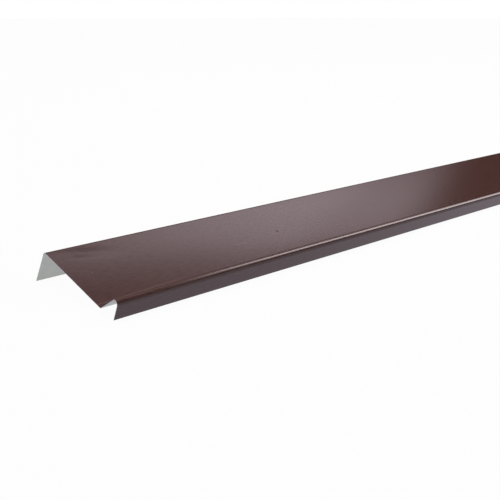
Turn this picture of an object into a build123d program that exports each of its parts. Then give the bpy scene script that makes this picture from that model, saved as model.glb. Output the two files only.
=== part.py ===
from build123d import *
from math import atan2, degrees
import os

# Wall abutment flashing: one strip of coil-coated steel sheet, folded along its whole length.
#
# Built in, the web lies flat on the wall, the chase flange is tucked into a slot cut in the
# masonry, and the kick-out carries rain clear of the joint to the drip lip. Here the strip
# stands free, as on a shop floor, on the raw edges of its chase flange and its drip lip.
#
# X runs along the strip, Y across it from the chase flange to the drip lip, and Z is up.
# The origin is the middle of the floor rectangle that the strip covers.
#
# Widths are measured on the coated face, from corner to corner, before the corners are rounded.

# Stock
stock_length = 2000.0
sheet_thickness = 0.5

# Widths of the folded faces
chase_flange = 52.5
web = 131.0
kick_out = 43.0
nose_face = 11.5
drip_lip = 21.5

# Slope of each face with the web level, in degrees, walking from the chase edge to the drip edge
chase_slope = 75.5
kick_out_slope = 51.0
nose_slope = -74.5
drip_slope = -97.0

# Radius inside each bend
chase_bend = 5.0
valley_bend = 1.0
nose_bend = 4.0
crease_bend = 3.0

# The coated face is outside the bend at the chase corner, the nose and the crease, and inside
# the bend at the valley
coated_radii = [
    chase_bend + sheet_thickness,
    valley_bend,
    nose_bend + sheet_thickness,
    crease_bend + sheet_thickness,
]

# Corners of the coated face, found by walking along the faces one after another
faces = [
    (chase_flange, chase_slope),
    (web, 0.0),
    (kick_out, kick_out_slope),
    (nose_face, nose_slope),
    (drip_lip, drip_slope),
]
corners = [Vector(0, 0)]
for width, slope in faces:
    corners.append(corners[-1] + Vector(width, 0).rotate(Axis.Z, slope))

# The strip tips until both raw edges touch the floor: the chase flange on its back corner, the
# drip lip on its coated corner
back_of_chase_edge = corners[0] + Vector(sheet_thickness, 0).rotate(Axis.Z, chase_slope - 90)
edge_to_edge = corners[-1] - back_of_chase_edge
stance = -degrees(atan2(edge_to_edge.Y, edge_to_edge.X))

# Section of the sheet: the coated face, thickened towards the back
with BuildSketch() as level_section:
    with BuildLine():
        FilletPolyline(*corners, radius=coated_radii)
        offset(amount=sheet_thickness, side=Side.RIGHT)
    make_face()

with BuildSketch() as standing_section:
    add(level_section.sketch, rotation=stance)
footprint = standing_section.sketch.bounding_box()

# Square-cut end of the strip, with the section's lowest point on the floor
cut_end = Plane(
    origin=(-stock_length / 2, -footprint.center().X, -footprint.min.Y),
    x_dir=(0, 1, 0),
    z_dir=(1, 0, 0),
)
with BuildPart() as abutment_flashing:
    with BuildSketch(cut_end):
        add(standing_section.sketch)
    extrude(amount=stock_length)
abutment_flashing.part.label = "abutment_flashing"

os.makedirs("parts", exist_ok=True)
export_step(abutment_flashing.part, "parts/abutment_flashing.step")
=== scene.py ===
"""Wall abutment flashing: a folded strip of brown coil-coated steel sheet, 2 m long, in studio light.

The strip is made again as one closed skin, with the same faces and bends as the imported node, so that
its bends are truly round, its web has the faint waves of thin sheet, and each side has its own finish:
brown polyester on the coated face, light grey lacquer on the back, and bare sheared metal on the edges.

Lengths are in metres. A place on the sheet is x, which runs along the strip, and across, which is the
walk over the coated face from the chase edge to the drip edge.
"""

import math

import bpy
import numpy as np
from mathutils import Matrix, Vector


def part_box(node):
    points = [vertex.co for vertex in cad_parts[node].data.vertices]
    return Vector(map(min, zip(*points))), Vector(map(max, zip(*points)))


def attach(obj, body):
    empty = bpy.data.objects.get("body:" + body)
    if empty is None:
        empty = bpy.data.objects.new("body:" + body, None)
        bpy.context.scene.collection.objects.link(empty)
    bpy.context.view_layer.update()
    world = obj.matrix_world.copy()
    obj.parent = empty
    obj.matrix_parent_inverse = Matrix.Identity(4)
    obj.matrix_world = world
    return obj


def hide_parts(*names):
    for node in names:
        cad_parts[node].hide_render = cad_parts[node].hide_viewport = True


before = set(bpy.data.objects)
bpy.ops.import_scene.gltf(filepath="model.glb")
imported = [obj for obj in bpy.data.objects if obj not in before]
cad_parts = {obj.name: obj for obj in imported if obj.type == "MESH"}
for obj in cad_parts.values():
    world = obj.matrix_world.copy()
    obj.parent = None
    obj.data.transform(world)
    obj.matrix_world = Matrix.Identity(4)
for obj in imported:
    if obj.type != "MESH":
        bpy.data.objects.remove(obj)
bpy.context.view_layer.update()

# Stock, as in the part
strip_node = "abutment_flashing"
sheet_thickness = 0.0005

# Widths of the folded faces, from corner to corner on the coated face, walking from the chase edge
# to the drip edge
face_widths = {
    "chase_flange": 0.0525,
    "web": 0.131,
    "kick_out": 0.043,
    "nose_face": 0.0115,
    "drip_lip": 0.0215,
}

# Slopes of the same faces with the web level, in degrees
face_slopes = {
    "chase_flange": 75.5,
    "web": 0.0,
    "kick_out": 51.0,
    "nose_face": -74.5,
    "drip_lip": -97.0,
}

# Radius of each bend on the coated face. The valley is a little rounder than in the part, which moves
# the sheet by a fifth of a millimetre at most and shows as a faint line of light.
coated_radii = {"chase_corner": 0.0055, "valley": 0.0030, "nose": 0.0045, "crease": 0.0035}

# How finely the skin is divided: along the strip, over a face and round a bend. Each face has one more
# row of points close beside its bends, so that the shading of a bend stops there.
station_spacing = 0.008
face_step = 0.0045
bend_segments = 20
row_beside_bend = 0.0003

# How far the sheared edges are rounded, and the angles, in degrees, from which an edge is rounded and
# from which it is shaded as sharp
edge_round = 0.00006
rounded_from = 60
sharp_from = 50

# Waves of the thin sheet between its folds: height, then length and shift along the strip
waves = [(0.00010, 0.83, 0.4), (0.00007, 0.47, 2.1), (0.00003, 0.29, 4.0)]

# Shallow dent in the web beside the chase bend. It leans across by lean for each metre along.
dent = {
    "x": 0.967,
    "across": 0.0640,
    "lean": -0.31,
    "half_length": 0.034,
    "half_width": 0.011,
    "depth": 0.0011,
}

# The shear pressed the nose down at the near end: how far, over what length, and the share of it at
# each fold of the kick-out
sag_depth = 0.0014
sag_length = 0.085
sag_shares = {"valley": 0.0, "nose": 1.0, "crease": 0.3, "drip_edge": 0.0}

# Small round marks on the coated face
# The nib is real raised relief, and its near-black colour is painted shade for the sheen it loses
nib_and_painted_shade = {"x": 0.668, "across": 0.1251, "radius": 0.0019}
dust_speck = {"x": 0.970, "across": 0.1150, "radius": 0.0005}

# Fine scratch along the web, from one place to another
scratch = {"start": (0.731, 0.1332), "end": (0.758, 0.1318), "half_width": 0.0004}

# Painted reflection: a lighter line along the web beside the valley, where the web mirrors the kick-out.
# Its place across at the near end, how far it leans across for each metre along, and from where to
# where along it grows
painted_reflection_line = {"across": 0.1752, "lean": 0.041, "half_width": 0.0022, "grows": (0.85, 0.91)}

# UV map of the sheet, and the places of its three finishes in the strip's material slots
sheet_map = "sheet"
COATED, BACK, SHEARED = 0, 1, 2

# Camera, with its angles in degrees and its lens and sensor in millimetres
camera_place = (1.4260, 0.7768, 0.3262)
camera_pitch_down = 17.03
camera_heading = 227.643
camera_lens = 55.76
camera_sensor = 36.0

# Light table under the strip: how far it reaches from the middle, the share of plain white in it, and
# how bright it glows on the strip, where 1 is white
table_reach = 40.0
table_white = 0.96
table_glow = 0.58

# Where the mirror image of the table ends to the front and to the back of the strip, and where it
# begins again beyond its near end: the axis, the place of no glow and the place of full glow
table_ends = {"front": ("Y", 0.30, 0.10), "back": ("Y", -0.13, -0.06), "near": ("X", 0.99, 1.03)}

# Even light from above: its strength, and its spread and its turns about X and Y in degrees
dome_strength = 2.4
dome_spread = 50
dome_turns = (12, 5)

# Soft boxes. Each is a panel that faces the place it is aimed at, from a direction and a distance. On a
# panel, X runs level and Y runs down. Its glow stops at two ends along X and at two sides along Y. Each
# of them is given by its place, its softness, and how far it leans along its own axis for each metre
# along the other. A step is one more such edge across X, past which only a share of the glow is lost.
# A fade of (a, b) makes the glow grow by exp(a x + b y).
soft_boxes = {
    # The web mirrors this long strip light, which hangs behind the flashing and parallel to it
    "strip_light": {
        "aim": (0.0, 0.0, 0.03),
        "direction": (0.0, -0.579, 0.815),
        "distance": 2.0,
        "ends": [(0.955, 0.79, -4.38), (2.495, 0.255, 1.31)],
        "sides": [(-0.19, 0.024, 0.0), (0.19, 0.024, 0.0)],
        "step": (1.51, 0.20, 3.60),
        "lost": 0.305,
        "fade": (-0.55, -2.16),
        "strength": 4.85,
        "colour": "FDF3FF",
    },
    # The nose mirrors this one as a bright line. It stands beyond the far end, and is the main light.
    "main_light": {
        "aim": (0.3, 0.08, 0.03),
        "direction": (-0.910, 0.211, 0.357),
        "distance": 5.0,
        "ends": [(-2.31, 0.21, 0.0), (4.20, 0.50, 0.0)],
        "sides": [(-3.60, 0.42, 0.50), (2.10, 0.15, -0.65)],
        "step": (1.80, 0.62, 0.19),
        "lost": 0.97,
        "fade": (0.75, -0.22),
        "strength": 3.20,
        "colour": "FFF3F4",
    },
    # The backs of the bends mirror this one, which hangs over the flashing above the strip light
    "ceiling_light": {
        "aim": (0.0, 0.0, 0.03),
        "direction": (0.0, -0.26, 0.966),
        "distance": 2.0,
        "ends": [(-0.6, 0.3, 0.0), (2.8, 0.4, 0.0)],
        "sides": [(-0.42, 0.10, 0.0), (0.40, 0.08, 0.0)],
        "strength": 0.6,
        "colour": "FFF3F4",
    },
}

# How many times its softness a panel reaches past each edge of its glow
panel_margin = 2.0


def linear(hex_code):
    """An sRGB hex colour as linear RGBA.

    It is c / 12.92 for a small c, and ((c + 0.055) / 1.055) ** 2.4 for the rest.
    """
    channels = np.array([int(hex_code[i:i + 2], 16) for i in (0, 2, 4)]) / 255
    low = channels / 12.92
    high = ((channels + 0.055) / 1.055) ** 2.4
    return (*np.where(channels <= 0.04045, low, high).tolist(), 1.0)


def node(tree, kind, inputs=None, **settings):
    """Adds one node. Settings are its own fields, and an input is a value or the socket that feeds it."""
    new = tree.nodes.new(kind)
    for name, value in settings.items():
        setattr(new, name, value)
    for name, value in (inputs or {}).items():
        if isinstance(value, bpy.types.NodeSocket):
            tree.links.new(value, new.inputs[name])
        else:
            new.inputs[name].default_value = value
    return new


# Sockets of a Mix node that mixes colours, and of one that mixes numbers
MIX_A, MIX_B, MIX_COLOUR = 6, 7, 2
FLOAT_A, FLOAT_B = 2, 3


def new_material(name):
    """An empty material, and its tree and output."""
    material = bpy.data.materials.new(name)
    material.use_nodes = True
    tree = material.node_tree
    tree.nodes.clear()
    return material, tree, node(tree, "ShaderNodeOutputMaterial")


# Section of the sheet


def folded_section():
    """Points, slopes and distances across of the coated face in the section, walking from the chase edge.

    Corner k + 1 is corner k plus its width times (cos, sin) of its slope. A bend of radius r and turn a
    starts r tan(|a| / 2) before its corner, and its point at share t of the turn is
    start + r (sin(t |a|) along + sign(a) (1 - cos(t |a|)) left), where left is along turned by a right
    angle.
    """
    widths = np.array(list(face_widths.values()))
    slopes = np.radians(list(face_slopes.values()))
    radii = np.array(list(coated_radii.values()))
    turns = np.diff(slopes)
    along = np.column_stack([np.cos(slopes), np.sin(slopes)])
    left = np.column_stack([-along[:, 1], along[:, 0]])
    corners = np.vstack([[0.0, 0.0], np.cumsum(along * widths[:, None], axis=0)])
    setbacks = np.concatenate([[0.0], radii * np.tan(np.abs(turns) / 2), [0.0]])
    points, angles = [], []
    for k, width in enumerate(widths):
        straight = width - setbacks[k] - setbacks[k + 1]
        count = max(2, int(round(straight / face_step)) + 1)
        inner = np.linspace(row_beside_bend, straight - row_beside_bend, count)
        run = np.concatenate([[0.0], inner, [straight]])
        points.append(corners[k] + (setbacks[k] + run)[:, None] * along[k])
        angles.append(np.full(len(run), slopes[k]))
        if k < len(turns):
            turned = np.linspace(0.0, abs(turns[k]), bend_segments + 1)[1:-1]
            start = corners[k + 1] - setbacks[k + 1] * along[k]
            sideways = np.sign(turns[k]) * (1 - np.cos(turned))
            arc = np.sin(turned)[:, None] * along[k] + sideways[:, None] * left[k]
            points.append(start + radii[k] * arc)
            angles.append(slopes[k] + np.sign(turns[k]) * turned)
    points, angles = np.vstack(points), np.concatenate(angles)
    steps = np.hypot(*np.diff(points, axis=0).T)
    return points, angles, np.concatenate([[0.0], np.cumsum(steps)])


def right_of(angles):
    """Unit vectors to the right of the walk, which is into the sheet: (sin, -cos) of the slope."""
    return np.column_stack([np.sin(angles), -np.cos(angles)])


def standing_section():
    """The section as the strip stands: turned until both raw edges touch the floor, and in the node's box.

    The chase flange stands on its back corner and the drip lip on its coated corner, so the section
    turns by minus the slope of the line between those two corners.
    """
    points, angles, across = folded_section()
    back = points + sheet_thickness * right_of(angles)
    edge_to_edge = points[-1] - back[0]
    stance = -math.atan2(edge_to_edge[1], edge_to_edge[0])
    turn = np.array([[math.cos(stance), -math.sin(stance)], [math.sin(stance), math.cos(stance)]])
    points, back, angles = points @ turn.T, back @ turn.T, angles + stance
    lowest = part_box(strip_node)[0]
    shift = np.array([lowest.y, lowest.z]) - np.minimum(points.min(0), back.min(0))
    return points + shift, angles, across


# Skin of the sheet


def web_wave(x, across):
    """How far the sheet bulges towards its coated side, in metres.

    It is a sum of height * sin(2 pi x / length + shift), times sin(pi t) ** 2, where t runs from 0 to 1
    across the web: a fold holds the sheet straight, so the waves die out at both folds and the other
    faces have none. The dent takes away
    depth * exp(-(along / half length) ** 2 - (aside / half width) ** 2), times sin(pi t).
    """
    t = np.clip((across - face_widths["chase_flange"]) / face_widths["web"], 0.0, 1.0)
    height = sum(h * np.sin(2 * np.pi * x / length + shift) for h, length, shift in waves)
    along = x - dent["x"]
    aside = across - dent["across"] - dent["lean"] * along
    hollow = np.exp(-(along / dent["half_length"]) ** 2 - (aside / dent["half_width"]) ** 2)
    return height * np.sin(np.pi * t) ** 2 - dent["depth"] * hollow * np.sin(np.pi * t)


def fold_places():
    """How far across the middle of each bend lies, and the drip edge.

    A bend of radius r and turn a shortens the walk along the faces by r (2 tan(|a| / 2) - |a|), one half
    of it before its middle and the other half after it.
    """
    turns = np.abs(np.diff(np.radians(list(face_slopes.values()))))
    saved = np.array(list(coated_radii.values())) * (2 * np.tan(turns / 2) - turns)
    saved_before = np.append(np.cumsum(saved) - saved / 2, saved.sum())
    return np.cumsum(list(face_widths.values())) - saved_before


def sag(x, across, near_end):
    """How far the nose is pressed down, in metres.

    It is depth * exp(-((near end - x) / length) ** 2), times its share across, which goes in straight
    lines from fold to fold.
    """
    share = np.interp(across, fold_places()[1:], list(sag_shares.values()))
    return sag_depth * np.exp(-((near_end - x) / sag_length) ** 2) * share


def skin_points():
    """Points of the closed skin, one row round the sheet at each station along the strip.

    A point of the coated face is (x, section(s) + wave(x, s) n - sag(x, s) z), where n is the face's
    outward normal, and the back is the same point moved one thickness against n. A row walks over the
    coated face and comes back along the back. The values of s, which is how far across, come with it.
    """
    section, angles, across = standing_section()
    outward = -right_of(angles)
    low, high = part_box(strip_node)
    stations = np.linspace(low.x, high.x, int(round((high.x - low.x) / station_spacing)) + 1)
    x, s = np.meshgrid(stations, across, indexing="ij")
    coated = section[None] + web_wave(x, s)[..., None] * outward[None]
    coated[..., 1] -= sag(x, s, high.x)
    back = coated - sheet_thickness * outward[None]
    rows = np.concatenate([coated, back[:, ::-1]], axis=1)
    along = np.concatenate([x, x], axis=1)[..., None]
    return np.concatenate([along, rows], axis=2), across


def skin_faces(rows, columns):
    """Faces of the skin as numbers of points, and the finish of each face.

    A face of the sides joins two neighbours of a row to the same two of the next row, all the way
    round. A face of an end joins two neighbours on the coated face to the two behind them on the back.
    """
    number = np.arange(rows * columns).reshape(rows, columns)
    following = np.roll(number, -1, axis=1)
    sides = np.stack([number[:-1], following[:-1], following[1:], number[1:]], axis=-1).reshape(-1, 4)

    half = columns // 2
    here, there = np.arange(half - 1), np.arange(1, half)
    far_end = np.column_stack([here, columns - 1 - here, columns - 1 - there, there])
    near_end = (far_end + number[-1, 0])[:, ::-1]

    finish_of_column = np.full(columns, BACK)
    finish_of_column[:half] = COATED
    finish_of_column[[half - 1, columns - 1]] = SHEARED
    finish_of_ends = np.full(2 * len(far_end), SHEARED)
    finish = np.concatenate([np.tile(finish_of_column, rows - 1), finish_of_ends])
    return np.concatenate([sides, far_end, near_end]), finish


def flat_map(points, across, faces, finish):
    """Place of each corner of each face on the sheet laid flat, in metres.

    It is (x, across) on the coated face and on the back. On a sheared face it is (x + across, depth),
    where depth is measured from the coated side.
    """
    rows = len(points)
    x = points[..., 0]
    distance = np.tile(np.concatenate([across, across[::-1]]), (rows, 1))
    depth = np.tile(np.repeat([0.0, sheet_thickness], len(across)), (rows, 1))
    flat = np.stack([x, distance], axis=-1).reshape(-1, 2)
    cut = np.stack([x + distance, depth], axis=-1).reshape(-1, 2)
    corners = faces.ravel()
    sheared = np.repeat(finish == SHEARED, faces.shape[1])
    return np.where(sheared[:, None], cut[corners], flat[corners])


def folded_strip():
    """The strip as one closed mesh: coated face, back, two long sheared edges and two sheared ends."""
    points, across = skin_points()
    faces, finish = skin_faces(*points.shape[:2])
    uv = flat_map(points, across, faces, finish)

    mesh = bpy.data.meshes.new("folded_strip")
    mesh.from_pydata(points.reshape(-1, 3).tolist(), [], faces.tolist())
    mesh.uv_layers.new(name=sheet_map).data.foreach_set("uv", uv.ravel().astype(np.float32))
    mesh.polygons.foreach_set("material_index", finish.astype(np.int32))
    mesh.shade_smooth()
    mesh.set_sharp_from_angle(angle=math.radians(sharp_from))
    mesh.update()
    strip = bpy.data.objects.new("folded_strip", mesh)
    bpy.context.scene.collection.objects.link(strip)
    rounding = strip.modifiers.new("sheared_edge_round", "BEVEL")
    rounding.width = edge_round
    rounding.segments = 2
    rounding.limit_method = "ANGLE"
    rounding.angle_limit = math.radians(rounded_from)
    return strip


# Finishes


def spot(tree, place, x, across, radius):
    """1 inside a round mark on the sheet and 0 outside it. The outer half of its radius is a soft rim."""
    away = node(tree, "ShaderNodeVectorMath", {0: place, 1: (x, across, 0.0)}, operation="DISTANCE")
    inside = node(tree, "ShaderNodeMapRange", {
        "Value": away.outputs["Value"],
        "From Min": radius,
        "From Max": radius / 2,
    }, interpolation_type="SMOOTHSTEP")
    return inside.outputs["Result"]


def beside_line(tree, place, x, across, lean):
    """How far a place on the sheet lies across from a line, |its across - line(its x)|, and its x.

    The line passes through (x, across), and leans across by lean for each metre along.
    """
    split = node(tree, "ShaderNodeSeparateXYZ", {"Vector": place})
    upright = node(tree, "ShaderNodeMath", {
        0: split.outputs["X"],
        1: -lean,
        2: split.outputs["Y"],
    }, operation="MULTIPLY_ADD")
    aside = node(tree, "ShaderNodeMath", {
        0: upright.outputs[0],
        1: across - lean * x,
    }, operation="SUBTRACT")
    away = node(tree, "ShaderNodeMath", {0: aside.outputs[0]}, operation="ABSOLUTE")
    return away.outputs[0], split.outputs["X"]


def scratched(tree, place):
    """1 on the middle of the scratch, and 0 off it.

    It fades evenly from its middle line to its half width, and over the last quarter at each end.
    """
    (x0, across0), (x1, across1) = scratch["start"], scratch["end"]
    away, along = beside_line(tree, place, x0, across0, (across1 - across0) / (x1 - x0))
    thin = node(tree, "ShaderNodeMapRange", {
        "Value": away,
        "From Min": scratch["half_width"],
        "From Max": 0.0,
    })
    from_middle = node(tree, "ShaderNodeMath", {0: along, 1: (x0 + x1) / 2}, operation="SUBTRACT")
    distance = node(tree, "ShaderNodeMath", {0: from_middle.outputs[0]}, operation="ABSOLUTE")
    inside = node(tree, "ShaderNodeMapRange", {
        "Value": distance.outputs[0],
        "From Min": (x1 - x0) / 2,
        "From Max": (x1 - x0) / 4,
    })
    both = node(tree, "ShaderNodeMath", {0: thin.outputs[0], 1: inside.outputs[0]}, operation="MULTIPLY")
    return both.outputs[0]


def painted_reflection_mask(tree, place):
    """1 on the middle of the painted reflection line, and 0 off it.

    It fades smoothly from its middle line to its half width, and grows smoothly towards the near end.
    """
    near_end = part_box(strip_node)[1].x
    away, along = beside_line(tree, place, near_end, painted_reflection_line["across"], painted_reflection_line["lean"])
    start, full = painted_reflection_line["grows"]
    line = node(tree, "ShaderNodeMapRange", {
        "Value": away,
        "From Min": painted_reflection_line["half_width"],
        "From Max": 0.0,
    }, interpolation_type="SMOOTHSTEP")
    grown = node(tree, "ShaderNodeMapRange", {
        "Value": along,
        "From Min": start,
        "From Max": full,
    }, interpolation_type="SMOOTHSTEP")
    both = node(tree, "ShaderNodeMath", {0: line.outputs[0], 1: grown.outputs[0]}, operation="MULTIPLY")
    return both.outputs[0]


def polyester_coat():
    """Chocolate brown polyester coil coat, rolled on and baked before the sheet was folded.

    A satin film with a soft mirror in it, faint lines along the coil from the rollers, and hardly any
    orange peel. A lighter line beside the valley is a painted reflection of the kick-out in the web. It
    has one raised nib where a grain was baked in, whose near-black colour is painted shade for the sheen
    its steep sides lose, one speck of dust and one fine scratch.
    """
    line_length, line_spacing, line_height = 0.012, 0.0025, 7e-6
    patch_length, patch_width = 0.5, 0.06
    peel_size, peel_height = 0.003, 3e-6
    nib_height = 2.5e-4

    material, tree, output = new_material("polyester_coil_coat")
    shader = node(tree, "ShaderNodeBsdfPrincipled", {"Roughness": 0.12, "IOR": 1.5})
    place = node(tree, "ShaderNodeUVMap", uv_map=sheet_map).outputs["UV"]

    # Roller lines, which are paler than the film between them
    drawn = node(tree, "ShaderNodeMapping", {
        "Vector": place,
        "Scale": (1 / line_length, 1 / line_spacing, 1.0),
    })
    lines = node(tree, "ShaderNodeTexNoise", {
        "Vector": drawn.outputs["Vector"],
        "Scale": 1.0,
        "Detail": 2.0,
    })

    # Slow drift of the film's thickness, in long patches along the coil
    slow = node(tree, "ShaderNodeMapping", {
        "Vector": place,
        "Scale": (1 / patch_length, 1 / patch_width, 1.0),
    })
    drift = node(tree, "ShaderNodeTexNoise", {
        "Vector": slow.outputs["Vector"],
        "Scale": 1.0,
        "Detail": 1.0,
    })
    even = node(tree, "ShaderNodeMix", {
        0: drift.outputs["Fac"],
        MIX_A: linear("2F1D1B"),
        MIX_B: linear("35211E"),
    }, data_type="RGBA")

    # The lines and then the marks over the film: the share of each and its colour
    nib_and_shade_mask = spot(tree, place, **nib_and_painted_shade)
    layers = [
        (lines.outputs["Fac"], "563D38"),
        # Painted reflection: a lighter line beside the valley that stands in for the kick-out mirrored in
        # the web
        (painted_reflection_mask(tree, place), "58423D"),
        (scratched(tree, place), "7C6E68"),
        (spot(tree, place, **dust_speck), "A89C92"),
        # Painted shade: the nib's near-black stands in for the sheen that its steep sides lose
        (nib_and_shade_mask, "0E0A09"),
    ]
    tone = even
    for share, colour in layers:
        tone = node(tree, "ShaderNodeMix", {
            0: share,
            MIX_A: tone.outputs[MIX_COLOUR],
            MIX_B: linear(colour),
        }, data_type="RGBA")
    tree.links.new(tone.outputs[MIX_COLOUR], shader.inputs["Base Color"])

    # Relief: orange peel, roller lines, and the nib, whose steep sides mirror the dark room
    peel = node(tree, "ShaderNodeTexNoise", {"Vector": place, "Scale": 1 / peel_size, "Detail": 1.0})
    peeled = node(tree, "ShaderNodeBump", {"Height": peel.outputs["Fac"], "Distance": peel_height})
    rolled = node(tree, "ShaderNodeBump", {
        "Height": lines.outputs["Fac"],
        "Distance": line_height,
        "Normal": peeled.outputs["Normal"],
    })
    raised = node(tree, "ShaderNodeBump", {
        "Height": nib_and_shade_mask,
        "Distance": nib_height,
        "Normal": rolled.outputs["Normal"],
    })
    tree.links.new(raised.outputs["Normal"], shader.inputs["Normal"])
    tree.links.new(shader.outputs["BSDF"], output.inputs["Surface"])
    return material


def backing_lacquer():
    """Thin light grey backing lacquer on hot-dip zinc, rolled on at a few microns.

    It is nearly matt and a little uneven, and the zinc's crystals show through it as a faint mottle.
    """
    crystal_size = 0.009

    material, tree, output = new_material("backing_lacquer")
    shader = node(tree, "ShaderNodeBsdfPrincipled", {"Roughness": 0.5, "IOR": 1.5})
    place = node(tree, "ShaderNodeUVMap", uv_map=sheet_map).outputs["UV"]
    crystals = node(tree, "ShaderNodeTexVoronoi", {"Vector": place, "Scale": 1 / crystal_size})
    shade = node(tree, "ShaderNodeMix", {
        0: crystals.outputs["Color"],
        MIX_A: linear("D3D7D3"),
        MIX_B: linear("DCE0DC"),
    }, data_type="RGBA")
    tree.links.new(shade.outputs[MIX_COLOUR], shader.inputs["Base Color"])
    tree.links.new(shader.outputs["BSDF"], output.inputs["Surface"])
    return material


def sheared_steel():
    """Edge of zinc-coated steel sheet, cut by a shear and left bare.

    The cut is bright and smooth for the third nearest the coated side, and dull and torn below it.
    """
    smooth_to, torn_from = 0.3 * sheet_thickness, 0.4 * sheet_thickness

    material, tree, output = new_material("sheared_steel_edge")
    shader = node(tree, "ShaderNodeBsdfPrincipled", {"Metallic": 1.0, "Roughness": 0.35})
    place = node(tree, "ShaderNodeUVMap", uv_map=sheet_map).outputs["UV"]
    split = node(tree, "ShaderNodeSeparateXYZ", {"Vector": place})
    torn = node(tree, "ShaderNodeMapRange", {
        "Value": split.outputs["Y"],
        "From Min": smooth_to,
        "From Max": torn_from,
    })
    shade = node(tree, "ShaderNodeMix", {
        0: torn.outputs["Result"],
        MIX_A: linear("D2D6DA"),
        MIX_B: linear("AEB2B6"),
    }, data_type="RGBA")
    tree.links.new(shade.outputs[MIX_COLOUR], shader.inputs["Base Color"])
    tree.links.new(shader.outputs["BSDF"], output.inputs["Surface"])
    return material


# Studio


def flat_stage(name, half_length, half_width, material):
    """A rectangle in its own XY plane that isn't part of the object."""
    corners = [
        (-half_length, -half_width, 0),
        (half_length, -half_width, 0),
        (half_length, half_width, 0),
        (-half_length, half_width, 0),
    ]
    mesh = bpy.data.meshes.new(name)
    mesh.from_pydata(corners, [], [(0, 1, 2, 3)])
    mesh.materials.append(material)
    plane = bpy.data.objects.new(name, mesh)
    bpy.context.scene.collection.objects.link(plane)
    return plane


def seen_directly(tree, path):
    """1 for what the camera sees, and for what shows through glass, and 0 for all other light."""
    either = node(tree, "ShaderNodeMath", {
        0: path.outputs["Is Camera Ray"],
        1: path.outputs["Is Transmission Ray"],
    }, operation="MAXIMUM")
    return either.outputs[0]


def white_floor():
    """Light table: a white sheet that glows from below, and lights the underside and inside of the strip.

    What the camera sees of it is mostly plain white, and the rest is matt, which keeps a faint shadow.
    The gloss mirrors it as white too, but only as far out as the table goes, with a soft end.
    """
    material, tree, output = new_material("white_floor")
    path = node(tree, "ShaderNodeLightPath")
    place = node(tree, "ShaderNodeTexCoord").outputs["Object"]
    split = node(tree, "ShaderNodeSeparateXYZ", {"Vector": place})

    # 1 where a mirror image of the table shows it, and 0 past its ends
    ends = {}
    for side, (axis, dark, full) in table_ends.items():
        ends[side] = node(tree, "ShaderNodeMapRange", {
            "Value": split.outputs[axis],
            "From Min": dark,
            "From Max": full,
        }, interpolation_type="SMOOTHSTEP").outputs["Result"]
    beside = node(tree, "ShaderNodeMath", {0: ends["front"], 1: ends["back"]}, operation="MULTIPLY")
    on_table = node(tree, "ShaderNodeMath", {0: beside.outputs[0], 1: ends["near"]}, operation="MAXIMUM")

    # How bright it is: for the gloss, for the matt surfaces that it lights, and as the camera sees it
    mirrored = path.outputs["Is Glossy Ray"]
    indirect = node(tree, "ShaderNodeMix", {
        0: mirrored,
        FLOAT_A: table_glow,
        FLOAT_B: on_table.outputs[0],
    }, data_type="FLOAT")
    level = node(tree, "ShaderNodeMix", {
        0: seen_directly(tree, path),
        FLOAT_A: indirect.outputs[0],
        FLOAT_B: 1.0,
    }, data_type="FLOAT")

    # Plain white, and a little cooler where the gloss mirrors it
    tone = node(tree, "ShaderNodeMix", {
        0: mirrored,
        MIX_A: linear("FFFFFF"),
        MIX_B: linear("E4DCEA"),
    }, data_type="RGBA")
    white = node(tree, "ShaderNodeEmission", {
        "Color": tone.outputs[MIX_COLOUR],
        "Strength": level.outputs[0],
    })
    matt = node(tree, "ShaderNodeBsdfDiffuse", {"Color": linear("CBCBCB")})
    mix = node(tree, "ShaderNodeMixShader", {
        0: table_white,
        1: matt.outputs["BSDF"],
        2: white.outputs["Emission"],
    })
    tree.links.new(mix.outputs["Shader"], output.inputs["Surface"])
    return flat_stage("floor", table_reach, table_reach, material)


def soft_box_glow(name, ends, sides, step, lost, fade, strength, colour):
    """Material of a soft box.

    Its glow is strength * exp(a x + b y), times half of 1 + tanh(distance inside / softness) for each
    of its ends and sides. An end lies at x = place + lean * y, and a side at y = place + lean * x. The
    step lies and softens as an end does, but takes only the share lost.
    """
    material, tree, output = new_material(name)
    place = node(tree, "ShaderNodeTexCoord").outputs["Object"]
    split = node(tree, "ShaderNodeSeparateXYZ", {"Vector": place})
    slopes = [
        node(tree, "ShaderNodeMath", {0: split.outputs[axis], 1: rate}, operation="MULTIPLY").outputs[0]
        for axis, rate in zip("XY", fade)
    ]
    slope = node(tree, "ShaderNodeMath", {0: slopes[0], 1: slopes[1]}, operation="ADD")
    glow = node(tree, "ShaderNodeMath", {0: slope.outputs[0]}, operation="EXPONENT")

    # Axis measured and the other one, which way the glow lies from the edge, the edge, and the share
    # that is lost past it
    edges = [
        ("Y", "X", 1, sides[0], 1.0),
        ("Y", "X", -1, sides[1], 1.0),
        ("X", "Y", 1, ends[0], 1.0),
        ("X", "Y", -1, ends[1], 1.0),
    ]
    if step:
        edges.append(("X", "Y", -1, step, lost))
    for axis, other, inwards, (edge, softness, lean), lost_share in edges:
        upright = node(tree, "ShaderNodeMath", {
            0: split.outputs[other],
            1: -lean,
            2: split.outputs[axis],
        }, operation="MULTIPLY_ADD")
        inside = node(tree, "ShaderNodeMapRange", {
            "Value": upright.outputs[0],
            "From Min": edge,
            "From Max": edge + inwards * softness,
        }, clamp=False)
        curve = node(tree, "ShaderNodeMath", {0: inside.outputs["Result"]}, operation="TANH")
        share = node(tree, "ShaderNodeMath", {
            0: curve.outputs[0],
            1: lost_share / 2,
            2: 1 - lost_share / 2,
        }, operation="MULTIPLY_ADD")
        glow = node(tree, "ShaderNodeMath", {
            0: glow.outputs[0],
            1: share.outputs[0],
        }, operation="MULTIPLY")
    level = node(tree, "ShaderNodeMath", {0: glow.outputs[0], 1: strength}, operation="MULTIPLY")
    light = node(tree, "ShaderNodeEmission", {"Color": linear(colour), "Strength": level.outputs[0]})
    tree.links.new(light.outputs["Emission"], output.inputs["Surface"])
    return material


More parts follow.
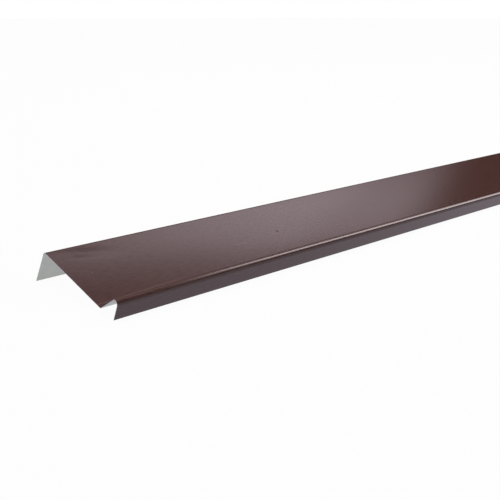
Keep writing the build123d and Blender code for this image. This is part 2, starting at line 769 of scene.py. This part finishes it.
def soft_box(name, aim, direction, distance, ends, sides, strength, colour, step=None, lost=0.0,
             fade=(0.0, 0.0)):
    """A glowing panel that the gloss can mirror, and that the camera doesn't see.

    Its Z is the way to it from the place it is aimed at. Its X is the cross product of that and up,
    which is level, and its Y is the cross product of Z and X, which runs down.
    """
    material = soft_box_glow(name, ends, sides, step, lost, fade, strength, colour)
    half_length = max(abs(edge) + panel_margin * softness for edge, softness, _ in ends)
    half_width = max(abs(edge) + panel_margin * softness for edge, softness, _ in sides)
    panel = flat_stage(name, half_length, half_width, material)
    way = Vector(direction).normalized()
    level_axis = way.cross(Vector((0, 0, 1))).normalized()
    drop_axis = way.cross(level_axis)
    turn = Matrix((level_axis, drop_axis, way)).transposed().to_4x4()
    panel.matrix_world = Matrix.Translation(Vector(aim) + distance * way) @ turn
    panel.visible_camera = False
    panel.visible_shadow = False


def dome_fill():
    """Even light from a wide part of the ceiling, too diffuse to draw an image in the gloss."""
    light = bpy.data.lights.new("dome_fill", "SUN")
    light.energy = dome_strength
    light.angle = math.radians(dome_spread)
    dome = bpy.data.objects.new("dome_fill", light)
    dome.rotation_euler = (math.radians(dome_turns[0]), math.radians(dome_turns[1]), 0)
    bpy.context.scene.collection.objects.link(dome)
    dome.visible_glossy = False


def studio_world():
    """White background for the camera, and an almost dark room for the rest."""
    world = bpy.data.worlds.new("studio")
    bpy.context.scene.world = world
    world.use_nodes = True
    tree = world.node_tree
    tree.nodes.clear()
    path = node(tree, "ShaderNodeLightPath")
    tone = node(tree, "ShaderNodeMix", {
        0: seen_directly(tree, path),
        MIX_A: linear("424042"),
        MIX_B: linear("FFFFFF"),
    }, data_type="RGBA")
    light = node(tree, "ShaderNodeBackground", {"Color": tone.outputs[MIX_COLOUR], "Strength": 1.0})
    node(tree, "ShaderNodeOutputWorld", {"Surface": light.outputs["Background"]})


def camera():
    """Level camera, looking down along the strip from beyond its near end."""
    lens = bpy.data.cameras.new("camera")
    lens.lens = camera_lens
    lens.sensor_width = camera_sensor
    # Far enough for the corners of the light table
    lens.clip_end = 2 * table_reach
    eye = bpy.data.objects.new("camera", lens)
    eye.location = camera_place
    eye.rotation_euler = (math.radians(90 - camera_pitch_down), 0, math.radians(camera_heading - 90))
    bpy.context.scene.collection.objects.link(eye)
    bpy.context.scene.camera = eye


strip = folded_strip()
for finish in (polyester_coat(), backing_lacquer(), sheared_steel()):
    strip.data.materials.append(finish)
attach(strip, "root")
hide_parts(strip_node)

white_floor()
for box_name, sizes in soft_boxes.items():
    soft_box(box_name, **sizes)
dome_fill()
studio_world()
camera()
bpy.context.scene.view_settings.view_transform = "Standard"
